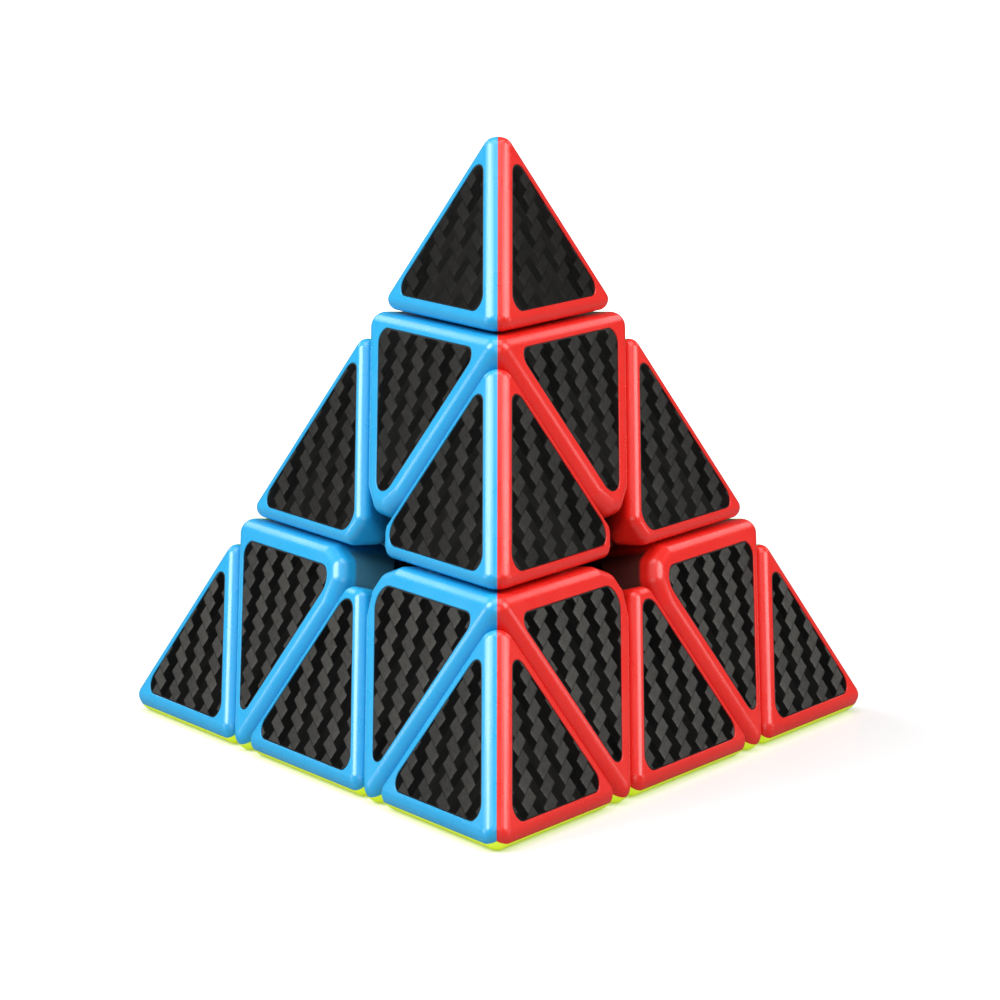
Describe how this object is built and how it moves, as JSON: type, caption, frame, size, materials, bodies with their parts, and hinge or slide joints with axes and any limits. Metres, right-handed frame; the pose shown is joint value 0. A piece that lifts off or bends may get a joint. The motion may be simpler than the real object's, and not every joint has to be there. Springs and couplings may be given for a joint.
{
  "type": "pyramid twisty puzzle",
  "caption": "Tetrahedral twisty puzzle with turning layers and tips, rounded glossy shells and inset carbon-weave stickers around a screwed core.",
  "frame": {"origin": "centre of the puzzle, where the four turning axes meet", "axes": "+Z is the turning axis of the top corner, -Y points at the front bottom corner, +X to the right"},
  "size_m": [0.099, 0.086, 0.0808],
  "materials": {
    "blue_plastic": "smooth moulded gloss",
    "red_plastic": "smooth moulded gloss",
    "yellow_plastic": "smooth moulded fluorescent gloss",
    "green_plastic": "smooth moulded gloss",
    "carbon_sticker": "printed twill weave film, satin",
    "inner_plastic": "fine moulded satin",
    "steel": "zinc-plated"
  },
  "bodies": {
    "core": {"core": "inner_plastic", "axis_hardware": "steel"},
    "axial_top": {"axial_top_shell_green": "green_plastic", "axial_top_shell_blue": "blue_plastic", "axial_top_shell_red": "red_plastic", "axial_top_hub": "inner_plastic", "axial_top_stickers": "carbon_sticker"},
    "axial_front": {"axial_front_shell_yellow": "yellow_plastic", "axial_front_shell_blue": "blue_plastic", "axial_front_shell_red": "red_plastic", "axial_front_hub": "inner_plastic", "axial_front_stickers": "carbon_sticker"},
    "axial_right": {"axial_right_shell_yellow": "yellow_plastic", "axial_right_shell_green": "green_plastic", "axial_right_shell_red": "red_plastic", "axial_right_hub": "inner_plastic", "axial_right_stickers": "carbon_sticker"},
    "axial_left": {"axial_left_shell_yellow": "yellow_plastic", "axial_left_shell_green": "green_plastic", "axial_left_shell_blue": "blue_plastic", "axial_left_hub": "inner_plastic", "axial_left_stickers": "carbon_sticker"},
    "tip_top": {"tip_top_cap_green": "green_plastic", "tip_top_cap_blue": "blue_plastic", "tip_top_cap_red": "red_plastic", "tip_top_base": "inner_plastic", "tip_top_stickers": "carbon_sticker"},
    "tip_front": {"tip_front_cap_yellow": "yellow_plastic", "tip_front_cap_blue": "blue_plastic", "tip_front_cap_red": "red_plastic", "tip_front_base": "inner_plastic", "tip_front_stickers": "carbon_sticker"},
    "tip_right": {"tip_right_cap_yellow": "yellow_plastic", "tip_right_cap_green": "green_plastic", "tip_right_cap_red": "red_plastic", "tip_right_base": "inner_plastic", "tip_right_stickers": "carbon_sticker"},
    "tip_left": {"tip_left_cap_yellow": "yellow_plastic", "tip_left_cap_green": "green_plastic", "tip_left_cap_blue": "blue_plastic", "tip_left_base": "inner_plastic", "tip_left_stickers": "carbon_sticker"},
    "edge_top_front": {"edge_top_front_half_blue": "blue_plastic", "edge_top_front_half_red": "red_plastic", "edge_top_front_stickers": "carbon_sticker"},
    "edge_top_right": {"edge_top_right_half_green": "green_plastic", "edge_top_right_half_red": "red_plastic", "edge_top_right_stickers": "carbon_sticker"},
    "edge_top_left": {"edge_top_left_half_green": "green_plastic", "edge_top_left_half_blue": "blue_plastic", "edge_top_left_stickers": "carbon_sticker"},
    "edge_front_right": {"edge_front_right_half_yellow": "yellow_plastic", "edge_front_right_half_red": "red_plastic", "edge_front_right_stickers": "carbon_sticker"},
    "edge_front_left": {"edge_front_left_half_yellow": "yellow_plastic", "edge_front_left_half_blue": "blue_plastic", "edge_front_left_stickers": "carbon_sticker"},
    "edge_right_left": {"edge_right_left_half_yellow": "yellow_plastic", "edge_right_left_half_green": "green_plastic", "edge_right_left_stickers": "carbon_sticker"}
  },
  "joints": [
    {"name": "turn_top", "type": "hinge", "parent": "core", "child": "axial_top", "pos_m": [0, 0, 0], "axis": [0, 0, 1], "range_deg": [-240, 120]},
    {"name": "turn_front", "type": "hinge", "parent": "core", "child": "axial_front", "pos_m": [0, 0, 0], "axis": [0, -0.9428, -0.3333], "range_deg": [-240, 120]},
    {"name": "turn_right", "type": "hinge", "parent": "core", "child": "axial_right", "pos_m": [0, 0, 0], "axis": [0.8165, 0.4714, -0.3333], "range_deg": [-240, 120]},
    {"name": "turn_left", "type": "hinge", "parent": "core", "child": "axial_left", "pos_m": [0, 0, 0], "axis": [-0.8165, 0.4714, -0.3333], "range_deg": [-240, 120]},
    {"name": "twist_top_tip", "type": "hinge", "parent": "axial_top", "child": "tip_top", "pos_m": [0, 0, 0], "axis": [0, 0, 1], "continuous": true},
    {"name": "twist_front_tip", "type": "hinge", "parent": "axial_front", "child": "tip_front", "pos_m": [0, 0, 0], "axis": [0, -0.9428, -0.3333], "continuous": true},
    {"name": "twist_right_tip", "type": "hinge", "parent": "axial_right", "child": "tip_right", "pos_m": [0, 0, 0], "axis": [0.8165, 0.4714, -0.3333], "continuous": true},
    {"name": "twist_left_tip", "type": "hinge", "parent": "axial_left", "child": "tip_left", "pos_m": [0, 0, 0], "axis": [-0.8165, 0.4714, -0.3333], "continuous": true},
    {"name": "carry_top_front", "type": "hinge", "parent": "axial_top", "child": "edge_top_front", "pos_m": [0, 0, 0], "axis": [0, -0.9428, -0.3333], "range_deg": [-240, 120]},
    {"name": "carry_top_right", "type": "hinge", "parent": "axial_top", "child": "edge_top_right", "pos_m": [0, 0, 0], "axis": [0.8165, 0.4714, -0.3333], "range_deg": [-240, 120]},
    {"name": "carry_top_left", "type": "hinge", "parent": "axial_top", "child": "edge_top_left", "pos_m": [0, 0, 0], "axis": [-0.8165, 0.4714, -0.3333], "range_deg": [-240, 120]},
    {"name": "carry_front_right", "type": "hinge", "parent": "axial_front", "child": "edge_front_right", "pos_m": [0, 0, 0], "axis": [0.8165, 0.4714, -0.3333], "range_deg": [-240, 120]},
    {"name": "carry_right_left", "type": "hinge", "parent": "axial_right", "child": "edge_right_left", "pos_m": [0, 0, 0], "axis": [-0.8165, 0.4714, -0.3333], "range_deg": [-240, 120]},
    {"name": "carry_front_left", "type": "hinge", "parent": "axial_left", "child": "edge_front_left", "pos_m": [0, 0, 0], "axis": [0, -0.9428, -0.3333], "range_deg": [-240, 120]}
  ],
  "couplings": [
    {"joint": "carry_top_front", "follows": "turn_front", "ratio": 1},
    {"joint": "carry_top_right", "follows": "turn_right", "ratio": 1},
    {"joint": "carry_top_left", "follows": "turn_left", "ratio": 1},
    {"joint": "carry_front_right", "follows": "turn_right", "ratio": 1},
    {"joint": "carry_right_left", "follows": "turn_left", "ratio": 1},
    {"joint": "carry_front_left", "follows": "turn_front", "ratio": 1}
  ]
}
